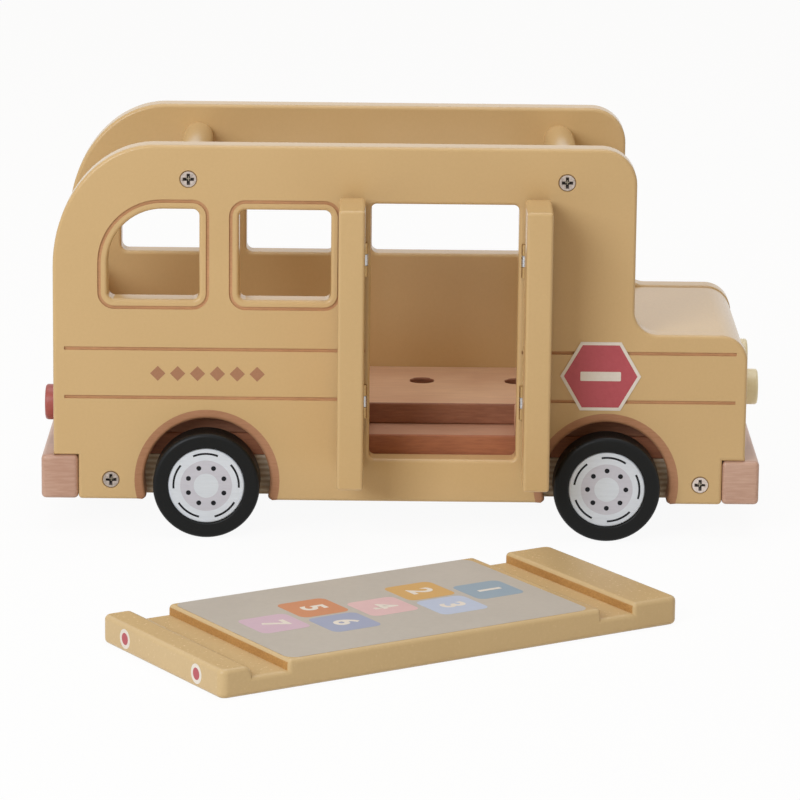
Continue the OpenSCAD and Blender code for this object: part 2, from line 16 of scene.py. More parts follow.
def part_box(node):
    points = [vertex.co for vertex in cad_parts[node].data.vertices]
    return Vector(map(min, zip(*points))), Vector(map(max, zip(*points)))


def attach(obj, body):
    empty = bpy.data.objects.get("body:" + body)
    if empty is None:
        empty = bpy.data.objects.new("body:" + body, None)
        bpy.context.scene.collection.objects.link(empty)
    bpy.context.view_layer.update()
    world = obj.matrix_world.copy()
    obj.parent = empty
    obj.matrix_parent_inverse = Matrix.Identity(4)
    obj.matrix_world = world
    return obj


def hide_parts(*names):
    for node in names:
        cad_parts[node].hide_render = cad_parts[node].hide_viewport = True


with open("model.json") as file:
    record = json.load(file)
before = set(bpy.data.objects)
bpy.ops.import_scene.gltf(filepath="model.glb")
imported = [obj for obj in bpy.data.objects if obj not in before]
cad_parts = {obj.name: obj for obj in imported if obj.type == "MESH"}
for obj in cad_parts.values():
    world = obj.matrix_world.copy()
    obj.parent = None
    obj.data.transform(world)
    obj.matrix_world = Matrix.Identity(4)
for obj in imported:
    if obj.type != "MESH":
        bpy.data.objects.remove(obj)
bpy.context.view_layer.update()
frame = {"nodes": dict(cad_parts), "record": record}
MM = 0.001

# Distance at which two places count as one, and at which an edge counts as the one looked for
NEAR, CLOSE = 0.01, 1
# Corners closer than this are merged, and faces that turn by fewer degrees are joined
MERGED, JOINED_ANGLE = 0.001, 0.1
# Degrees past which an edge is rounded, and past which it stays sharp in the shading
SHARP_ANGLE, SHADED_ANGLE = 30, 40
# Share of a face's normal along an axis when it faces that way, nearly so, or is edge-on
SQUARE_ON, NEARLY_SQUARE_ON, EDGE_ON = 0.99, 0.9, 0.1


# Modelling by hand

def select_alone(piece):
    """Selects one piece alone and makes it the active one."""
    bpy.ops.object.select_all(action="DESELECT")
    piece.select_set(True)
    bpy.context.view_layer.objects.active = piece


@contextmanager
def editing(piece):
    """Opens one piece alone in edit mode, with nothing selected."""
    select_alone(piece)
    bpy.ops.object.mode_set(mode="EDIT")
    bpy.ops.mesh.select_all(action="DESELECT")
    yield
    bpy.ops.object.mode_set(mode="OBJECT")


def pick(piece, kind, test):
    """Selects the faces, edges or corners of the piece in edit mode that pass a test."""
    bpy.ops.mesh.select_mode(type=kind)
    mesh = bmesh.from_edit_mesh(piece.data)
    for item in {"FACE": mesh.faces, "EDGE": mesh.edges, "VERT": mesh.verts}[kind]:
        if test(item):
            item.select_set(True)
    mesh.select_flush_mode()
    bmesh.update_edit_mesh(piece.data)


def is_sharp(edge):
    """True for an outward edge that turns by more than the sharp angle."""
    return len(edge.link_faces) == 2 and edge.calc_face_angle_signed() > math.radians(SHARP_ANGLE)


def soften(piece, width, segments=3, test=is_sharp):
    """Rounds the edges that pass a test, in millimetres."""
    with editing(piece):
        pick(piece, "EDGE", test)
        bpy.ops.mesh.bevel(offset=width * MM, segments=segments, profile=0.5, affect="EDGES",
                           clamp_overlap=False, loop_slide=False)


def apply_modifier(piece, kind, **settings):
    """Adds a modifier with its settings, and applies it."""
    select_alone(piece)
    bpy.ops.object.modifier_add(type=kind)
    modifier = piece.modifiers[-1]
    for name, value in settings.items():
        setattr(modifier, name, value)
    bpy.ops.object.modifier_apply(modifier=modifier.name)


def shade(piece):
    """Smooth shading that keeps the flat faces flat."""
    select_alone(piece)
    bpy.ops.object.shade_smooth_by_angle(angle=math.radians(SHADED_ANGLE))
    apply_modifier(piece, "WEIGHTED_NORMAL", keep_sharp=True)


def copy_of(node, name):
    """Copy of a solid, with its loose triangles merged into whole faces."""
    piece = bpy.data.objects.new(name, frame["nodes"][node].data.copy())
    bpy.context.scene.collection.objects.link(piece)
    piece.data.materials.clear()
    with editing(piece):
        bpy.ops.mesh.customdata_custom_splitnormals_clear()
        bpy.ops.mesh.select_all(action="SELECT")
        bpy.ops.mesh.remove_doubles(threshold=MERGED * MM)
        bpy.ops.mesh.dissolve_limited(angle_limit=math.radians(JOINED_ANGLE))
    return piece


def finish_piece(piece, body, slot, materials, *nodes, paint=None):
    """Gives a piece its materials and its body, and hides the solids that it stands for. Its slot is
    not used.
    """
    for material in materials:
        piece.data.materials.append(material)
    if paint:
        for face in piece.data.polygons:
            face.material_index = paint(face)
    shade(piece)
    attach(piece, body)
    if nodes:
        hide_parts(*nodes)


# Materials

# Size of the soft clouds that lie over the flecks of every surface
CLOUD_SIZE = 45
# Plies of the chassis board, their fibres along X, Y and Z, and the relief of a sawn edge
PLY_PITCH, PLY_FIBRE, PLY_RELIEF = 2.57, (3, 3, 0.5), 0.15
# Blender's wave texture has about this many waves to a unit
WAVES_PER_UNIT = 3.2


def colour(code):
    """Linear colour of an sRGB hex value."""
    shares = [int(code[i:i + 2], 16) / 255 for i in (1, 3, 5)]
    return [s / 12.92 if s <= 0.04045 else ((s + 0.055) / 1.055) ** 2.4 for s in shares] + [1]


def add_node(tree, kind, inputs=None, **settings):
    """Adds a node. Each input is a value, or the output that it is linked to."""
    node = tree.nodes.new("ShaderNode" + kind)
    for name, value in settings.items():
        setattr(node, name, value)
    for name, value in (inputs or {}).items():
        if isinstance(value, bpy.types.NodeSocket):
            tree.links.new(value, node.inputs[name])
        else:
            node.inputs[name].default_value = value
    return node


def new_tree(data):
    """Empty node tree of a material or of the world."""
    data.use_nodes = True
    data.node_tree.nodes.clear()
    return data.node_tree


def per_size(sizes):
    """Scale of a pattern that has these sizes along X, Y and Z."""
    return [1 / (size * MM) for size in sizes]


def surface(name, pale, dark, fleck, roughness, relief, metallic=0, shine=0.5):
    """Two close colours in flecks of a real size in millimetres along X, Y and Z.

    The same flecks spread the roughness between two values and give a relief in millimetres.
    """
    material = bpy.data.materials.new(name)
    tree = new_tree(material)
    place = add_node(tree, "TexCoord")
    scaled = add_node(tree, "Mapping", {"Vector": place.outputs["Object"], "Scale": per_size(fleck)})
    flecks = add_node(tree, "TexNoise", {"Vector": scaled.outputs[0], "Scale": 1, "Detail": 3,
                                         "Roughness": 0.6})
    clouds = add_node(tree, "TexNoise", {"Vector": place.outputs["Object"],
                                         "Scale": 1 / (CLOUD_SIZE * MM), "Detail": 2})
    both = add_node(tree, "Math", {0: flecks.outputs[0], 1: clouds.outputs[0]}, operation="ADD")
    share = add_node(tree, "MapRange", {"Value": both.outputs[0], "From Min": 0.75, "From Max": 1.25})
    tint = add_node(tree, "MixRGB", {"Fac": share.outputs[0], "Color1": colour(dark),
                                     "Color2": colour(pale)})
    gloss = add_node(tree, "MapRange", {"Value": flecks.outputs[0], "From Min": 0.3, "From Max": 0.7,
                                        "To Min": roughness[0], "To Max": roughness[1]})
    bumps = add_node(tree, "Bump", {"Height": flecks.outputs[0], "Distance": relief * MM})
    shader = add_node(tree, "BsdfPrincipled", {"Base Color": tint.outputs[0], "Metallic": metallic,
                                               "Roughness": gloss.outputs[0], "IOR": 1.5,
                                               "Specular IOR Level": shine,
                                               "Normal": bumps.outputs[0]})
    add_node(tree, "OutputMaterial", {"Surface": shader.outputs[0]})
    return material


def plywood():
    """Seven thin plies, pressed: bands of pale face grain and dark end grain, one above the other."""
    material = bpy.data.materials.new("birch plywood, sawn edge")
    tree = new_tree(material)
    place = add_node(tree, "TexCoord")
    wave = add_node(tree, "TexWave", {"Vector": place.outputs["Object"],
                                      "Scale": 1 / (PLY_PITCH * MM * WAVES_PER_UNIT),
                                      "Distortion": 0.6, "Detail": 2, "Detail Scale": 6},
                    bands_direction="Z")
    scaled = add_node(tree, "Mapping", {"Vector": place.outputs["Object"],
                                        "Scale": per_size(PLY_FIBRE)})
    fibres = add_node(tree, "TexNoise", {"Vector": scaled.outputs[0], "Scale": 1, "Detail": 3})
    share = add_node(tree, "Math", {0: wave.outputs[1], 1: fibres.outputs[0]}, operation="MULTIPLY")
    # Both colours are partly painted light, for an edge that lies in shade
    tint = add_node(tree, "MixRGB", {"Fac": share.outputs[0], "Color1": colour("#B49C7E"),
                                     "Color2": colour("#F3E6D0")})
    bumps = add_node(tree, "Bump", {"Height": share.outputs[0], "Distance": PLY_RELIEF * MM})
    shader = add_node(tree, "BsdfPrincipled", {"Base Color": tint.outputs[0], "Roughness": 0.75,
                                               "Normal": bumps.outputs[0]})
    add_node(tree, "OutputMaterial", {"Surface": shader.outputs[0]})
    return material


# Tan satin paint, sprayed on sanded board: even colour, a soft sheen and the faint stipple of the
# spray, which is drawn about twice as coarse as it is so that it shows at all
PAINT = surface("satin paint sprayed on board", "#D3B381", "#D0B07E", (1.3, 1.3, 1.3),
                (0.18, 0.22), 0.001, shine=0.25)
# The same paint on the loose roof board: a little paler and greyer, as painted reflection of the pale
# floor, and duller
ROOF_PAINT = surface("satin paint on the roof board, painted reflection", "#D1B688", "#CDB284", (1.3, 1.3, 1.3),
                     (0.22, 0.28), 0.001, shine=0.25)
# Cut with a router after painting, so bare wood shows: dull, pinkish brown, a little fuzzy
# The lines' copy is paler than the arches': painted light against the shade in their narrow grooves
LINE = surface("routed bare wood in the lines", "#CE9F74", "#BC8D63", (5, 5, 0.8), (0.65, 0.8), 0.04)
ARCH = surface("routed bare wood around the wheels", "#B98765", "#A87652", (6, 6, 0.8),
               (0.6, 0.75), 0.04)
# Groove walls sawn through the board: orange-brown end grain with dark pores
SAWN = surface("sawn end grain", "#C79A5C", "#A87A42", (1.2, 1.2, 0.6), (0.6, 0.8), 0.1)
# Beech, sanded and oiled thinly: pinkish, with short dark ray flecks along the length
BEECH = surface("sanded beech", "#CDA995", "#B9907B", (9, 0.9, 0.9), (0.28, 0.4), 0.04)
# The cabin's floor is planed, pale and even, and the step is the same beech painted darker, as painted
# shade in the doorway
PLANED = surface("planed beech", "#DDB795", "#C99D7D", (14, 1.1, 1.1), (0.45, 0.6), 0.03)
STEP = surface("planed beech, painted shade", "#BC8F74", "#A97B60", (14, 1.1, 1.1), (0.45, 0.6), 0.03)
# Their faces towards the doors, rounded edges too, are painted shade: dark, reddish and dull, a little
# lighter on the step
SHADED_EDGE = surface("sawn beech edge", "#A06C50", "#85543B", (8, 0.8, 0.8), (0.6, 0.75), 0.06)
SHADED_STEP_EDGE = surface("sawn beech edge, lighter painted shade", "#AB6D4B", "#8F5539", (8, 0.8, 0.8), (0.6, 0.75), 0.06)
# Birch plywood with a sawn edge: pale and dark bands, dull, both very pale, partly birch's own tone and
# partly painted light on an edge that lies in shade behind the wheels
PLY = plywood()
# Brass plate on pressed steel: warm and soft, rubbed to a dull shine
BRASSED = surface("brass plated steel", "#C7A878", "#B0905F", (0.9, 0.9, 0.9), (0.35, 0.5), 0.01,
                  metallic=1)
# Zinc plate on pressed steel: bright, a little blotched
STEEL = surface("zinc plated steel", "#D2D3D5", "#B9BBBE", (0.9, 0.9, 0.9), (0.22, 0.36), 0.01,
                metallic=1)
# Zinc plate on the screws, worn by the driver: bright and blotched, with painted shade in the cross,
# where little light gets in: dark on its walls and mouth, lighter on its bottom
SCREW = surface("worn zinc plate", "#DACCC2", "#A4978C", (1.1, 1.1, 1.1), (0.25, 0.4), 0.06,
                metallic=1)
RECESS = surface("shaded zinc plate in the screw crosses", "#5E5650", "#443C38", (0.5, 0.5, 0.5),
                 (0.5, 0.7), 0.02, metallic=1)
RECESS_BOTTOM = surface("zinc plate in the cross bottoms, lighter painted shade", "#B5AA98", "#8E8472", (0.5, 0.5, 0.5),
                        (0.35, 0.5), 0.02, metallic=1)
# Painted shade around the screw heads, standing for the head's shadow on the hole's edge: dull and
# brown
SCREW_RIM_SHADE = surface("painted shade around the screw heads", "#8A6B49", "#755839", (0.9, 0.9, 0.9), (0.6, 0.8), 0.02)
# Moulded rubber: black, satin, with a faint bloom
RUBBER = surface("moulded black rubber", "#0C0D0C", "#080908", (0.8, 0.8, 0.8), (0.34, 0.46), 0.02,
                 shine=0.22)
# Screen printed paint on the wheel discs: smooth and satin, laid over faint grain
DISC_RIM = surface("printed white on wood", "#DBE2EB", "#D3DAE3", (8, 8, 1), (0.4, 0.5), 0.01)
DISC_RING = surface("printed lilac grey on wood", "#CACAD4", "#C2C2CC", (8, 8, 1), (0.4, 0.5), 0.01)
DISC_HUB = surface("printed pale grey on wood", "#D8DFE7", "#D0D7DF", (8, 8, 1), (0.4, 0.5), 0.01)
INK = surface("printed dark ink", "#1E1F24", "#17181C", (1, 1, 1), (0.45, 0.6), 0.005, shine=0.15)
# Turned lamps dipped in paint: smooth and even, without the stipple of the spray
# The yellow is nearly white: partly the lamps' own pale cream, partly painted light on headlights that
# face away from the key
LAMP_YELLOW = surface("dipped yellow paint", "#FDF4D4", "#F6ECC4", (3, 3, 3), (0.3, 0.4), 0.01)
LAMP_RED = surface("dipped red paint", "#AC5952", "#A34F48", (3, 3, 3), (0.3, 0.4), 0.01)
# Printed film on the sign and on the boards: matt colour with clean edges
FILM_RED = surface("printed red film", "#BA525C", "#B24A54", (2, 2, 2), (0.4, 0.5), 0.005)
FILM_WHITE = surface("printed white film", "#E9E3DA", "#E2DBD1", (2, 2, 2), (0.4, 0.5), 0.005)
BROWN_INK = surface("printed brown ink", "#AC7B5B", "#A27252", (1, 1, 1), (0.45, 0.6), 0.005)
GREY_PRINT = surface("printed grey panel", "#BEB8AF", "#B6B0A7", (3, 3, 3), (0.5, 0.6), 0.005)
# Turned nylon: milky and waxy
NYLON = surface("turned nylon", "#E6E3DB", "#DCD8CE", (2, 2, 2), (0.4, 0.55), 0.01)


# Side panels with routed lines and wheel arches

WHEEL_PLACE, WHEEL_HEIGHT = 88.75, 23.75
# The arch, and the outer edge of the step that is routed around it
ARCH_RADIUS, ARCH_EDGE = 28, 32.4
# The foot of the step is drawn in to this share of its radius, and by this length at the lower edge
ARCH_SLOPE, ARCH_FOOT_SLOPE = 0.935, 2.2
ARCH_FOOT_ROUNDING, PANEL_ROUNDING = 2.6, 1.6
# Rear upper corner, a quarter of an ellipse, and the share of its reach where its wall begins
CORNER_LENGTH, CORNER_HEIGHT, CORNER_SHARE = 45, 55, 0.97
# The foot of the step lies between these depths below the outer face, and this near its edge
STEP_DEPTHS, STEP_NEAR = (0.1, 2), 0.2
# Depths between which the faces of the routed lines have their middles
LINE_DEPTHS = (0.2, 0.85)
# Height above the panel's lower edge that still counts as the edge
FOOT_HEIGHT = 0.1
# A wall that is deeper than this goes through the board, and it leans by less than this share
THROUGH_DEPTH, WALL_LEAN = 5, 0.3


def panel(node, name):
    """Side panel with rounded rims, routed lines and a slope around its wheel arches."""
    low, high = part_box(node)
    outer = max(abs(low.y), abs(high.y))
    axles = [(x * MM, WHEEL_HEIGHT * MM) for x in (-WHEEL_PLACE, WHEEL_PLACE)]
    piece = copy_of(node, name)

    def depth(point):
        return (outer - abs(point.y)) / MM

    def from_axle(point, axle):
        return math.hypot(point.x - axle[0], point.z - axle[1]) / MM

    def is_low(point):
        return point.z < low.z + FOOT_HEIGHT * MM

    def is_corner_wall(face):
        centre = face.calc_center_median()
        along = (centre.x - low.x) / MM / CORNER_LENGTH - 1
        up = (centre.z - high.z) / MM / CORNER_HEIGHT + 1
        return abs(face.normal.y) < EDGE_ON and along < 0 < up and math.hypot(along, up) > CORNER_SHARE

    def is_open_rim(edge):
        return edge.is_boundary and abs(edge.verts[0].co.y - edge.verts[1].co.y) < NEAR * MM

    def is_step_foot(point, axle):
        at_edge = abs(from_axle(point, axle) - ARCH_EDGE) < STEP_NEAR
        return at_edge and STEP_DEPTHS[0] < depth(point) < STEP_DEPTHS[1]

    def is_arch_foot(edge):
        ends = [v.co for v in edge.verts]
        at_arch = any(abs(from_axle(ends[0], axle) - ARCH_RADIUS) < CLOSE for axle in axles)
        return (is_sharp(edge) and abs(ends[0].y - ends[1].y) > THROUGH_DEPTH * MM
                and all(is_low(c) for c in ends) and at_arch)

    def is_rim(edge):
        if len(edge.link_faces) != 2:
            return False
        under = [f for f in edge.link_faces
                 if f.normal.z < -SQUARE_ON and abs(f.calc_center_median().z - low.z) < CLOSE * MM]
        if under and is_sharp(edge):
            return True
        flat = [f for f in edge.link_faces if abs(f.normal.y) > SQUARE_ON]
        wall = [f for f in edge.link_faces if abs(f.normal.y) < WALL_LEAN]
        if not flat or not wall:
            return False
        places = [v.co.y for v in wall[0].verts]
        return max(places) - min(places) > THROUGH_DEPTH * MM

    def paint(face):
        level = abs(face.normal.y)
        if depth(face.center) > STEP_DEPTHS[0]:
            if min(from_axle(face.center, axle) for axle in axles) < ARCH_EDGE:
                return 2
        routed = LINE_DEPTHS[0] < depth(face.center) < LINE_DEPTHS[1]
        return 1 if routed and (level > SQUARE_ON or level < EDGE_ON) else 0

    # The rear corner's wall becomes plain strips from rim to rim
    with editing(piece):
        pick(piece, "FACE", is_corner_wall)
        bpy.ops.mesh.delete(type="FACE")
        pick(piece, "EDGE", is_open_rim)
        bpy.ops.mesh.bridge_edge_loops()

    # The step around each wheel arch becomes a slope, also at its two feet
    for axle in axles:
        with editing(piece):
            pick(piece, "VERT", lambda v: is_step_foot(v.co, axle) and not is_low(v.co))
            bpy.ops.transform.resize(value=(ARCH_SLOPE, 1, ARCH_SLOPE),
                                     center_override=(axle[0], 0, axle[1]))
        for side in (-1, 1):
            with editing(piece):
                pick(piece, "VERT", lambda v: is_step_foot(v.co, axle) and is_low(v.co)
                     and (v.co.x - axle[0]) * side > 0)
                bpy.ops.transform.translate(value=(-side * ARCH_FOOT_SLOPE * MM, 0, 0))

    soften(piece, ARCH_FOOT_ROUNDING, 4, is_arch_foot)
    soften(piece, PANEL_ROUNDING, 4, is_rim)
    finish_piece(piece, "bus_body", "painted_wood", [PAINT, LINE, ARCH], node, paint=paint)


panel("side_panel_door", "door_side_panel")
panel("side_panel_window", "window_side_panel")


# Boards, bars and lamps with rounded edges

LEAF_ROUNDING, BOARD_ROUNDING, CABIN_ROUNDING = 1.4, 1.2, 0.8
BUMPER_ROUNDING, PLY_ROUNDING, LAMP_ROUNDING = 2, 0.5, 1.2
# Share of a face's normal towards the doors from which a board's face takes the painted shade of its
# sawn edge
SHADED_SIDE_SHARE = 0.2


def rounded(node, name, body, slot, material, width, segments=3, shaded_side_material=None):
    """Copy of a solid with its edges rounded. Faces to the doors may take a second material, a painted
    shade.
    """
    piece = copy_of(node, name)
    soften(piece, width, segments)
    if shaded_side_material:
        finish_piece(piece, body, slot, [material, shaded_side_material], node,
                     paint=lambda face: 1 if face.normal.y < -SHADED_SIDE_SHARE else 0)
    else:
        finish_piece(piece, body, slot, [material], node)


rounded("rear_door_leaf", "rear_leaf", "rear_door", "painted_wood", PAINT, LEAF_ROUNDING)
rounded("front_door_leaf", "front_leaf", "front_door", "painted_wood", PAINT, LEAF_ROUNDING)
rounded("rear_wall", "rear_wall_board", "bus_body", "painted_wood", PAINT, BOARD_ROUNDING)
rounded("front_board", "front_wall_board", "bus_body", "painted_wood", PAINT, BOARD_ROUNDING)
rounded("bonnet_top", "bonnet_lid_board", "bus_body", "painted_wood", PAINT, BOARD_ROUNDING)
rounded("floor_board", "cabin_floor", "bus_body", "beech", PLANED, CABIN_ROUNDING, 3, SHADED_EDGE)
rounded("step_board", "door_step", "bus_body", "beech", STEP, CABIN_ROUNDING, 3, SHADED_STEP_EDGE)
rounded("rear_bumper", "rear_bumper_bar", "bus_body", "beech", BEECH, BUMPER_ROUNDING)
rounded("front_bumper", "front_bumper_bar", "bus_body", "beech", BEECH, BUMPER_ROUNDING)
rounded("chassis_board", "chassis_ply", "bus_body", "plywood", PLY, PLY_ROUNDING, 2)
for side in ("left", "right"):
    for lamp, material in (("headlight", LAMP_YELLOW), ("tail_lamp", LAMP_RED)):
        rounded(f"{lamp}_{side}", f"{lamp}_turned_{side}", "bus_body", lamp + "_paint", material,
                LAMP_ROUNDING, 4)


# Screws with a cross that narrows towards its bottom

# Middles of the heads along X and Z, the same on both panels
SCREW_PLACES = [(-97.1, 159.75), (69.2, 159.75), (-131.4, 23.75), (130.6, 23.75)]
# How far the cross reaches from the middle, with a margin, and its depths below the head
CROSS_REACH, CROSS_MARGIN = 2.3, 0.1
CROSS_SHALLOWEST, CROSS_DEEPEST = 0.1, 3
# The bottom's faces lie this near the middle, and are drawn in to this share
BOTTOM_REACH, CROSS_TAPER = 1, 0.45
# Rounding of the cross's mouth
MOUTH_EDGE = 0.22
# The head is flat at least to this radius, and its edge is this round
HEAD_FLAT, HEAD_EDGE = 3, 0.55


def screws():
    """Panel screws with a tapered cross, a worn mouth to it and a rounded head."""
    piece = copy_of("panel_screws", "cross_screws")
    face_y = max(abs(v.co.y) for v in piece.data.vertices)

    def depth(point):
        return (face_y - abs(point.y)) / MM

    def aside(point):
        return min(math.hypot(point.x / MM - x, point.z / MM - z) for x, z in SCREW_PLACES)

    def is_bottom(point, normal):
        return (CROSS_SHALLOWEST < depth(point) < CROSS_DEEPEST
                and abs(normal.y) > NEARLY_SQUARE_ON and aside(point) < BOTTOM_REACH)

    def is_on_head(edge):
        return is_sharp(edge) and all(depth(v.co) < NEAR for v in edge.verts)

    def is_mouth(edge):
        return is_on_head(edge) and aside(edge.verts[0].co) < CROSS_REACH + CROSS_MARGIN

    def is_head_rim(edge):
        return is_on_head(edge) and aside(edge.verts[0].co) > HEAD_FLAT

    def paint(face):
        # Painted shade: lighter on the cross's bottom, dark on its walls and rounded mouth
        if is_bottom(face.center, face.normal):
            return 2
        if NEAR / 2 < depth(face.center) < CROSS_DEEPEST:
            if aside(face.center) < CROSS_REACH + MOUTH_EDGE:
                return 1
            # The head's rounded rim takes the painted shade of the head's shadow
            if aside(face.center) > HEAD_FLAT and depth(face.center) < HEAD_EDGE:
                return 3
        return 0

    for x, z in SCREW_PLACES:
        for side in (-1, 1):
            middle = Vector((x * MM, side * face_y, z * MM))
            with editing(piece):
                pick(piece, "FACE", lambda face: is_bottom(face.calc_center_median(), face.normal)
                     and (face.calc_center_median() - middle).length < CROSS_DEEPEST * MM)
                bpy.ops.transform.resize(value=(CROSS_TAPER, 1, CROSS_TAPER), center_override=middle)
    soften(piece, MOUTH_EDGE, 2, is_mouth)
    soften(piece, HEAD_EDGE, 3, is_head_rim)
    finish_piece(piece, "bus_body", "steel", [SCREW, RECESS, RECESS_BOTTOM, SCREW_RIM_SHADE], "panel_screws",
                 paint=paint)


screws()


# Flat prints, drawn facing up around the origin and then laid on their place

PRINT_THICKNESS = 0.04


def lay(piece, place):
    """Puts a piece drawn around the origin in its place, and leaves its object at the origin."""
    select_alone(piece)
    piece.matrix_world = place @ piece.matrix_world
    bpy.ops.object.transform_apply(location=True, rotation=True, scale=True)


def thicken(piece):
    """Gives a flat drawing the thickness of a print, upwards."""
    apply_modifier(piece, "SOLIDIFY", thickness=PRINT_THICKNESS * MM, offset=1)


def flat_sheet(name, across, up, corner, segments):
    """Rectangle with rounded corners."""
    bpy.ops.object.select_all(action="DESELECT")
    bpy.ops.mesh.primitive_plane_add(size=1)
    piece = bpy.context.object
    piece.name = name
    piece.scale = (across * MM, up * MM, 1)
    bpy.ops.object.transform_apply(location=False, rotation=False, scale=True)
    with editing(piece):
        bpy.ops.mesh.select_all(action="SELECT")
        bpy.ops.mesh.bevel(offset=corner * MM, segments=segments, affect="VERTICES")
    return piece


def flat_disc(name, radius, corners=48, turn=0):
    """Disc, or a polygon with a few corners, turned by some degrees."""
    bpy.ops.object.select_all(action="DESELECT")
    bpy.ops.mesh.primitive_circle_add(vertices=corners, radius=radius * MM, fill_type="NGON",
                                      rotation=(0, 0, math.radians(turn)))
    piece = bpy.context.object
    piece.name = name
    bpy.ops.object.transform_apply(location=False, rotation=True, scale=False)
    return piece


def twin(piece, name):
    """Copy of a drawn piece, with a mesh of its own."""
    other = bpy.data.objects.new(name, piece.data.copy())
    bpy.context.scene.collection.objects.link(other)
    return other


def facing(side, x, y, z):
    """Place on an upright face: seen from that side, X of the drawing runs right and Y up."""
    across = Vector((1, 0, 0)) if side == "right" else Vector((-1, 0, 0))
    up = Vector((0, 0, 1))
    out = across.cross(up)
    turn = Matrix((across, up, out)).transposed().to_4x4()
    return Matrix.Translation((x, y, z)) @ turn


# Wheels: a rubber tyre around a printed wooden disc, drawn once facing up and copied

WHEEL_CORNERS = 96
TYRE_SHOULDER, TYRE_LIP = 1.8, 0.7
DISC_ROUNDING = 0.8
RING_RADIUS, HUB_RADIUS = 11.5, 5.5
# Dots: how many, the corners and radius of each, and the radius of the circle that they lie on
DOT_COUNT, DOT_CORNERS, DOT_RADIUS, DOT_CIRCLE = 8, 20, 1.1, 8.5
# Arcs of a stroke's width on a circle, with their length and the first one's start in degrees
ARC_COUNT, ARC_STEPS, ARC_CIRCLE, ARC_STROKE = 5, 14, 14.5, 0.9
ARC_LENGTH, ARC_START = 41, -14.75
# How far the wheels have rolled, in degrees
WHEEL_TURNS = {"rear": 157.5, "front": 0}


def around(radius, angle):
    """Point on a circle around the origin, in metres."""
    return (radius * math.cos(angle) * MM, radius * math.sin(angle) * MM, 0)


def is_level(edge):
    """True for an edge that lies flat in the drawing."""
    return abs(edge.verts[0].co.z - edge.verts[1].co.z) < NEAR * MM


def drawn_cylinder(name, radius, depth):
    """Upright cylinder with its top at the height of the origin."""
    bpy.ops.object.select_all(action="DESELECT")
    bpy.ops.mesh.primitive_cylinder_add(vertices=WHEEL_CORNERS, radius=radius * MM, depth=depth * MM,
                                        location=(0, 0, -depth / 2 * MM))
    piece = bpy.context.object
    piece.name = name
    bpy.ops.object.transform_apply(location=True)
    return piece


def drawn_tyre(radius, bore, width):
    """Tyre with rounded shoulders and a small lip around the disc."""
    tyre = drawn_cylinder("drawn_tyre", radius, width)
    halfway = (radius + bore) / 2 * MM
    with editing(tyre):
        pick(tyre, "FACE", lambda f: abs(f.normal.z) > SQUARE_ON)
        bpy.ops.mesh.inset(thickness=(radius - bore) * MM, use_even_offset=False)
        bpy.ops.mesh.bridge_edge_loops()
    soften(tyre, TYRE_SHOULDER, 6,
           lambda e: is_level(e) and all(v.co.xy.length > halfway for v in e.verts))
    soften(tyre, TYRE_LIP, 3,
           lambda e: is_level(e) and is_sharp(e) and all(v.co.xy.length < halfway for v in e.verts))
    return tyre


def drawn_disc(radius, width):
    """Disc with a rounded rim, and a ring and a hub in colours of their own."""
    disc = drawn_cylinder("drawn_disc", radius, width)
    soften(disc, DISC_ROUNDING, 3, lambda e: all(v.co.z > -NEAR * MM for v in e.verts))
    with editing(disc):
        pick(disc, "FACE", lambda f: f.normal.z > SQUARE_ON)
        bpy.ops.mesh.inset(thickness=(radius - DISC_ROUNDING - RING_RADIUS) * MM, use_even_offset=False)
        bpy.ops.mesh.inset(thickness=(RING_RADIUS - HUB_RADIUS) * MM, use_even_offset=False)
    for face in disc.data.polygons:
        away = face.center.xy.length / MM
        face.material_index = 2 if away < HUB_RADIUS else 1 if away < RING_RADIUS else 0
    return disc


def drawn_marks():
    """Ring of dots, and arcs that are spun from a short stroke."""
    marks = flat_disc("drawn_marks", DOT_RADIUS, DOT_CORNERS)
    lay(marks, Matrix.Translation(around(DOT_CIRCLE, 0)))
    with editing(marks):
        for k in range(1, DOT_COUNT):
            angle = math.radians(360 / DOT_COUNT * k)
            bpy.ops.mesh.primitive_circle_add(vertices=DOT_CORNERS, radius=DOT_RADIUS * MM,
                                              fill_type="NGON", location=around(DOT_CIRCLE, angle))
        for k in range(ARC_COUNT):
            begin = math.radians(ARC_START + 360 / ARC_COUNT * k)
            bpy.ops.mesh.select_all(action="DESELECT")
            bpy.ops.mesh.primitive_plane_add(size=ARC_STROKE * MM, rotation=(0, 0, begin),
                                             location=around(ARC_CIRCLE, begin))
            ahead = Vector((-math.sin(begin), math.cos(begin), 0))
            fresh = [e for e in bmesh.from_edit_mesh(marks.data).edges if e.select]
            leading = max(fresh, key=lambda e: (e.verts[0].co + e.verts[1].co).dot(ahead))
            bpy.ops.mesh.select_all(action="DESELECT")
            bpy.ops.mesh.select_mode(type="EDGE")
            leading.select_set(True)
            bmesh.update_edit_mesh(marks.data)
            bpy.ops.mesh.spin(steps=ARC_STEPS, angle=-math.radians(ARC_LENGTH), center=(0, 0, 0),
                              axis=(0, 0, 1))
        bpy.ops.mesh.select_all(action="SELECT")
        bpy.ops.mesh.remove_doubles(threshold=MERGED * MM)
        bpy.ops.mesh.select_all(action="DESELECT")
        pick(marks, "FACE", lambda f: f.normal.z < 0)
        bpy.ops.mesh.flip_normals()
    thicken(marks)
    return marks


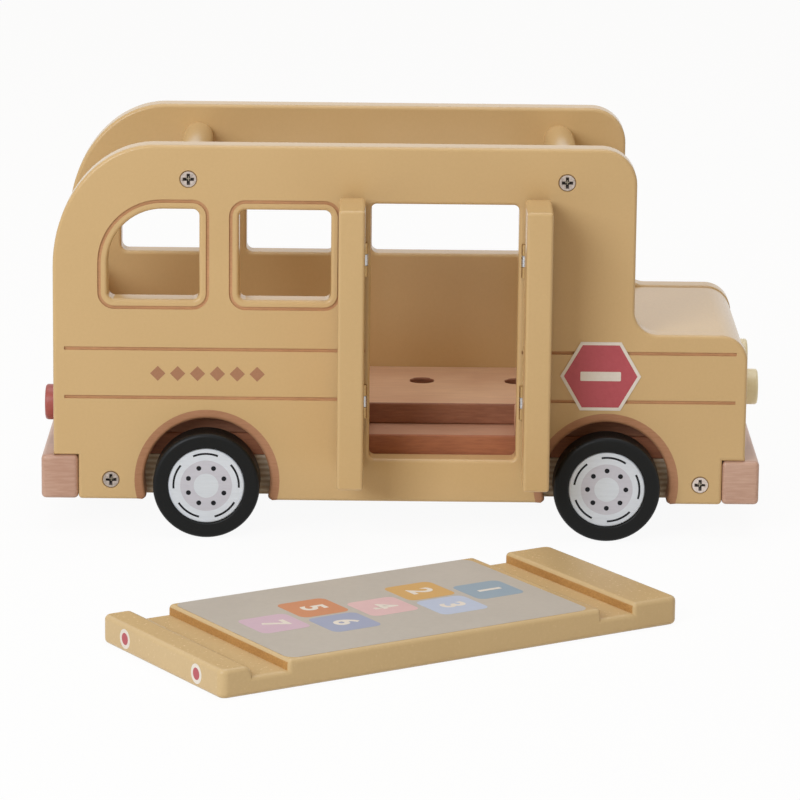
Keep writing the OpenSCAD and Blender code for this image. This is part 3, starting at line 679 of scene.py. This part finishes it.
def wheels():
    """Draws a tyre, a disc and its marks once, and lays copies of them on the four wheels."""
    tyre_low, tyre_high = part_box("rear_right_tyre")
    disc_low, disc_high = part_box("rear_right_disc")
    tyre_size = (tyre_high - tyre_low) / MM
    disc_size = (disc_high - disc_low) / MM
    bore = disc_size.z / 2
    drawings = [
        (drawn_tyre(tyre_size.z / 2, bore, tyre_size.y), "tyre", "rubber_tyre", "tyre", [RUBBER]),
        (drawn_disc(bore, disc_size.y), "disc", "printed_disc", "wheel_disc",
         [DISC_RIM, DISC_RING, DISC_HUB]),
        (drawn_marks(), "disc", "disc_marks", "wheel_disc", [INK])]
    for drawing, node, name, slot, materials in drawings:
        for end, turn in WHEEL_TURNS.items():
            for side in ("right", "left"):
                solid = f"{end}_{side}_{node}"
                low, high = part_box(solid)
                middle = (low + high) / 2
                piece = twin(drawing, f"{end}_{side}_{name}")
                lay(piece, facing(side, middle.x, low.y if side == "right" else high.y, middle.z)
                    @ Matrix.Rotation(math.radians(turn), 4, "Z"))
                stands_for = [] if name == "disc_marks" else [solid]
                finish_piece(piece, end + "_wheelset", slot, materials, *stands_for)
        bpy.data.objects.remove(drawing)


wheels()


# Sign and printed row on the door side

SIGN_CORNERS, SIGN_BORDER = 6, 1.4
BAR_LENGTH, BAR_HEIGHT, BAR_CORNER = 18, 4.2, 0.5
LOZENGE_COUNT, LOZENGE_REACH = 6, 3.4
ROW_START, ROW_PITCH, ROW_HEIGHT = -110.6, 8.8, 72.4


def sign():
    """Red field within the sign's white border, and a plain white bar on it."""
    low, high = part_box("sign")
    middle = (low + high) / 2
    place = facing("right", middle.x, low.y, middle.z)
    half_height = (high.z - low.z) / 2 / MM
    half_turn = 180 / SIGN_CORNERS
    reach = (half_height - SIGN_BORDER) / math.cos(math.radians(half_turn))
    red = flat_disc("sign_red_field", reach, SIGN_CORNERS, half_turn)
    thicken(red)
    lay(red, place)
    finish_piece(red, "bus_body", "sign_print", [FILM_RED])
    bar = flat_sheet("sign_white_bar", BAR_LENGTH, BAR_HEIGHT, BAR_CORNER, 5)
    thicken(bar)
    lay(bar, place @ Matrix.Translation((0, 0, PRINT_THICKNESS * MM)))
    finish_piece(bar, "bus_body", "sign_print", [FILM_WHITE])


def printed_row():
    """Row of small lozenges between the stripes."""
    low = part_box("side_panel_door")[0]
    drawing = flat_disc("drawn_lozenge", LOZENGE_REACH, 4)
    thicken(drawing)
    for k in range(LOZENGE_COUNT):
        mark = twin(drawing, f"printed_lozenge_{k + 1}")
        lay(mark, facing("right", (ROW_START + k * ROW_PITCH) * MM, low.y, ROW_HEIGHT * MM))
        finish_piece(mark, "bus_body", "painted_wood", [BROWN_INK])
    bpy.data.objects.remove(drawing)


sign()
printed_row()


# Roof board with a printed hopscotch course

# How far the board lies turned, in degrees, and how far from its middle its ends begin
ROOF_TURN, ROOF_END = 32.2, 100
# Edge of the rear strip towards its groove, which is worn round
REAR_STRIP_EDGE, REAR_STRIP_ROUNDING = -95.1, 4
# Rounding of the upright corners and of all other edges
ROOF_CORNER, ROOF_ROUNDING = 3.6, 2
# Grey field: length, width, corner radius and place along the board
FIELD_LENGTH, FIELD_WIDTH, FIELD_CORNER, FIELD_PLACE = 144.3, 93.4, 5, -5.5
SQUARE_SIZE, SQUARE_CORNER = 23, 3.5
# Height of the numbers, and how much their strokes are thickened
NUMBER_HEIGHT, NUMBER_SWELL = 15, 0.4
# Squares 1 to 7: place along and across the board, and two close colours of printed ink
COURSE = [
    (47, 0, "#93A7B6", "#8DA1B1"),
    (21, 12.5, "#D0A768", "#CBA162"),
    (21, -12.5, "#BCC7DC", "#B6C1D7"),
    (-5, 0, "#DDBBBC", "#D8B5B6"),
    (-31, 12.5, "#CB8C68", "#C68662"),
    (-31, -12.5, "#9FA7C0", "#99A1BB"),
    (-57, 0, "#D0B6C5", "#CBB0C0")]
# Lamps printed on the left end: distance from the middle, and radius of the ring and of its dot
ROOF_LAMP_PLACE, ROOF_LAMP_RING, ROOF_LAMP_DOT = 29, 4.1, 2.5


def drawn_number(number):
    """One number of the course, a mesh that is read from the board's left end."""
    bpy.ops.object.select_all(action="DESELECT")
    bpy.ops.object.text_add(rotation=(0, 0, math.radians(-90)))
    piece = bpy.context.object
    piece.name = f"course_number_{number}"
    piece.data.body = str(number)
    piece.data.size = NUMBER_HEIGHT * MM
    piece.data.align_x = "CENTER"
    piece.data.align_y = "CENTER"
    piece.data.offset = NUMBER_SWELL * MM
    bpy.ops.object.convert(target="MESH")
    piece = bpy.context.object
    bpy.ops.object.transform_apply(location=True, rotation=True, scale=True)
    thicken(piece)
    return piece


def roof():
    """Roof board with sawn grooves, its grey field, the course and two printed lamps."""
    low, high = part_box("roof_board")
    middle = (low + high) / 2
    ground = (Matrix.Translation((middle.x, middle.y, 0))
              @ Matrix.Rotation(math.radians(ROOF_TURN), 4, "Z"))
    top = ground @ Matrix.Translation((0, 0, high.z))
    along = ground.to_3x3() @ Vector((1, 0, 0))
    back = ground.inverted()
    board = copy_of("roof_board", "lift_off_roof")

    def is_at_end(point):
        return abs((back @ point).x) > ROOF_END * MM

    def is_upright(edge):
        ends = [v.co for v in edge.verts]
        return is_sharp(edge) and (ends[0].xy - ends[1].xy).length < NEAR * MM and is_at_end(ends[0])

    def is_rear_strip_edge(edge):
        ends = [back @ v.co for v in edge.verts]
        return is_sharp(edge) and all(high.z - c.z < NEAR * MM
                                      and abs(c.x - REAR_STRIP_EDGE * MM) < CLOSE * MM for c in ends)

    def paint(face):
        in_groove = abs(face.normal.dot(along)) > NEARLY_SQUARE_ON and not is_at_end(face.center)
        return 1 if in_groove else 0

    def print_on(piece, x, y, layer, material, face=top):
        """Lays a thickened print on the top or another face, over the layers below it."""
        lay(piece, face @ Matrix.Translation((x * MM, y * MM, layer * PRINT_THICKNESS * MM)))
        finish_piece(piece, "roof", "painted_wood", [material])

    soften(board, ROOF_CORNER, 5, is_upright)
    soften(board, REAR_STRIP_ROUNDING, 6, is_rear_strip_edge)
    soften(board, ROOF_ROUNDING, 4)
    finish_piece(board, "roof", "painted_wood", [ROOF_PAINT, SAWN], "roof_board", paint=paint)

    field = flat_sheet("roof_grey_field", FIELD_LENGTH, FIELD_WIDTH, FIELD_CORNER, 8)
    thicken(field)
    print_on(field, FIELD_PLACE, 0, 0, GREY_PRINT)
    square = flat_sheet("drawn_square", SQUARE_SIZE, SQUARE_SIZE, SQUARE_CORNER, 6)
    thicken(square)
    for number, (x, y, pale, dark) in enumerate(COURSE, 1):
        ink = surface(f"printed course colour {number}", pale, dark, (3, 3, 3), (0.5, 0.6), 0.005)
        print_on(twin(square, f"course_square_{number}"), x, y, 1, ink)
        print_on(drawn_number(number), x, y, 2, FILM_WHITE)
    bpy.data.objects.remove(square)

    # Seen from the left end, X of a drawing runs right and Y up
    reach = max(abs((back @ v.co).x) for v in frame["nodes"]["roof_board"].data.vertices)
    left = (ground @ Matrix.Translation((-reach, 0, high.z / 2))
            @ Matrix(((0, 0, -1), (-1, 0, 0), (0, 1, 0))).to_4x4())
    for name, radius, layer, material in (("ring", ROOF_LAMP_RING, 0, FILM_WHITE),
                                          ("dot", ROOF_LAMP_DOT, 1, FILM_RED)):
        drawing = flat_disc("drawn_lamp_" + name, radius)
        thicken(drawing)
        for place, x in (("left", ROOF_LAMP_PLACE), ("right", -ROOF_LAMP_PLACE)):
            print_on(twin(drawing, f"roof_lamp_{name}_{place}"), x, 0, layer, material, left)
        bpy.data.objects.remove(drawing)


roof()


# Solids that keep their own shape

FINISHES = {"painted_wood": PAINT, "steel": STEEL, "sign_print": FILM_WHITE, "nylon": NYLON}
# Endings of the nodes that are brass plated
BRASSED_ENDINGS = ("frame_flap", "hinge_pin", "flap_screws", "door_screws")
for part in frame["record"]["subparts"]:
    slot = part["material_slot"]
    if slot in FINISHES:
        mesh = frame["nodes"][part["node"]].data
        mesh.materials.clear()
        mesh.materials.append(BRASSED if part["node"].endswith(BRASSED_ENDINGS) else FINISHES[slot])


# Floor, light and camera

# Width of the floor in metres, and how much of it glows where it is seen
FLOOR_WIDTH, FLOOR_GLOW = 12, 0.94
FILL_STRENGTH = 0.30
# Lights: place, aim and size in metres, power in watts, tint
LIGHTS = [
    ("key", (-0.82, -1.36, 0.85), (0, 0, 0.08), 0.85, 16.8, "#F1F7FF"),
    ("overhead", (0.1, 0.1, 2.0), (0, 0, 0.1), 1.6, 19, "#EFF5FF")]
# Camera of the photograph in its frame of 800 by 800 pixels: place in millimetres, turns in radians
FRAME_PIXELS = 800
FOCAL_PIXELS = 4702.8
SENSOR_WIDTH = 36
CAMERA_PLACE = (-10.14, -2092.75, 529.16)
CAMERA_DOWN, CAMERA_RIGHT, CAMERA_ROLL = 0.2263, 0.0034, 0.0107


def seen(tree):
    """Output that is 1 for what the camera sees, also in a reflection, and 0 for light that bounces."""
    ray = add_node(tree, "LightPath")
    eye = add_node(tree, "Math", {0: ray.outputs["Is Camera Ray"], 1: ray.outputs["Is Glossy Ray"]},
                   operation="MAXIMUM")
    through = add_node(tree, "Math", {0: eye.outputs[0], 1: ray.outputs["Is Transmission Ray"]},
                       operation="MAXIMUM")
    return through.outputs[0]


def studio_floor():
    """Plain pale floor that takes faint shadows and is otherwise seen nearly white."""
    bpy.ops.object.select_all(action="DESELECT")
    bpy.ops.mesh.primitive_plane_add(size=FLOOR_WIDTH)
    floor = bpy.context.object
    floor.name = "studio_floor"
    material = bpy.data.materials.new("pale studio floor")
    tree = new_tree(material)
    share = add_node(tree, "Math", {0: seen(tree), 1: FLOOR_GLOW}, operation="MULTIPLY")
    matt = add_node(tree, "BsdfDiffuse", {"Color": colour("#F2F2F0")})
    glow = add_node(tree, "Emission", {"Color": colour("#FFFFFF"), "Strength": 1})
    mixed = add_node(tree, "MixShader", {0: share.outputs[0], 1: matt.outputs[0], 2: glow.outputs[0]})
    add_node(tree, "OutputMaterial", {"Surface": mixed.outputs[0]})
    floor.data.materials.append(material)


def studio_light():
    """White backdrop, a warm fill that is never seen itself, and the lights."""
    world = bpy.data.worlds.new("studio")
    bpy.context.scene.world = world
    tree = new_tree(world)
    fill = add_node(tree, "Background", {"Color": colour("#FFE3B4"), "Strength": FILL_STRENGTH})
    white = add_node(tree, "Background", {"Color": colour("#FFFFFF"), "Strength": 1})
    mixed = add_node(tree, "MixShader", {0: seen(tree), 1: fill.outputs[0], 2: white.outputs[0]})
    add_node(tree, "OutputWorld", {"Surface": mixed.outputs[0]})

    for name, place, aim, size, power, tint in LIGHTS:
        bpy.ops.object.light_add(type="AREA", location=place)
        light = bpy.context.object
        light.name = name
        light.data.energy = power
        light.data.color = colour(tint)[:3]
        light.data.size = size
        light.rotation_euler = (Vector(aim) - Vector(place)).to_track_quat("-Z", "Y").to_euler()


def camera():
    """Camera where the photograph was taken from."""
    bpy.ops.object.camera_add()
    eye = bpy.context.object
    eye.name = "photo_camera"
    eye.data.sensor_width = SENSOR_WIDTH
    eye.data.lens = SENSOR_WIDTH * FOCAL_PIXELS / FRAME_PIXELS
    eye.matrix_world = (Matrix.Translation(Vector(CAMERA_PLACE) * MM)
                        @ Matrix.Rotation(-CAMERA_RIGHT, 4, "Z")
                        @ Matrix.Rotation(math.pi / 2 - CAMERA_DOWN, 4, "X")
                        @ Matrix.Rotation(CAMERA_ROLL, 4, "Z"))
    bpy.context.scene.camera = eye
    bpy.context.scene.view_settings.view_transform = "Standard"


studio_floor()
studio_light()
camera()
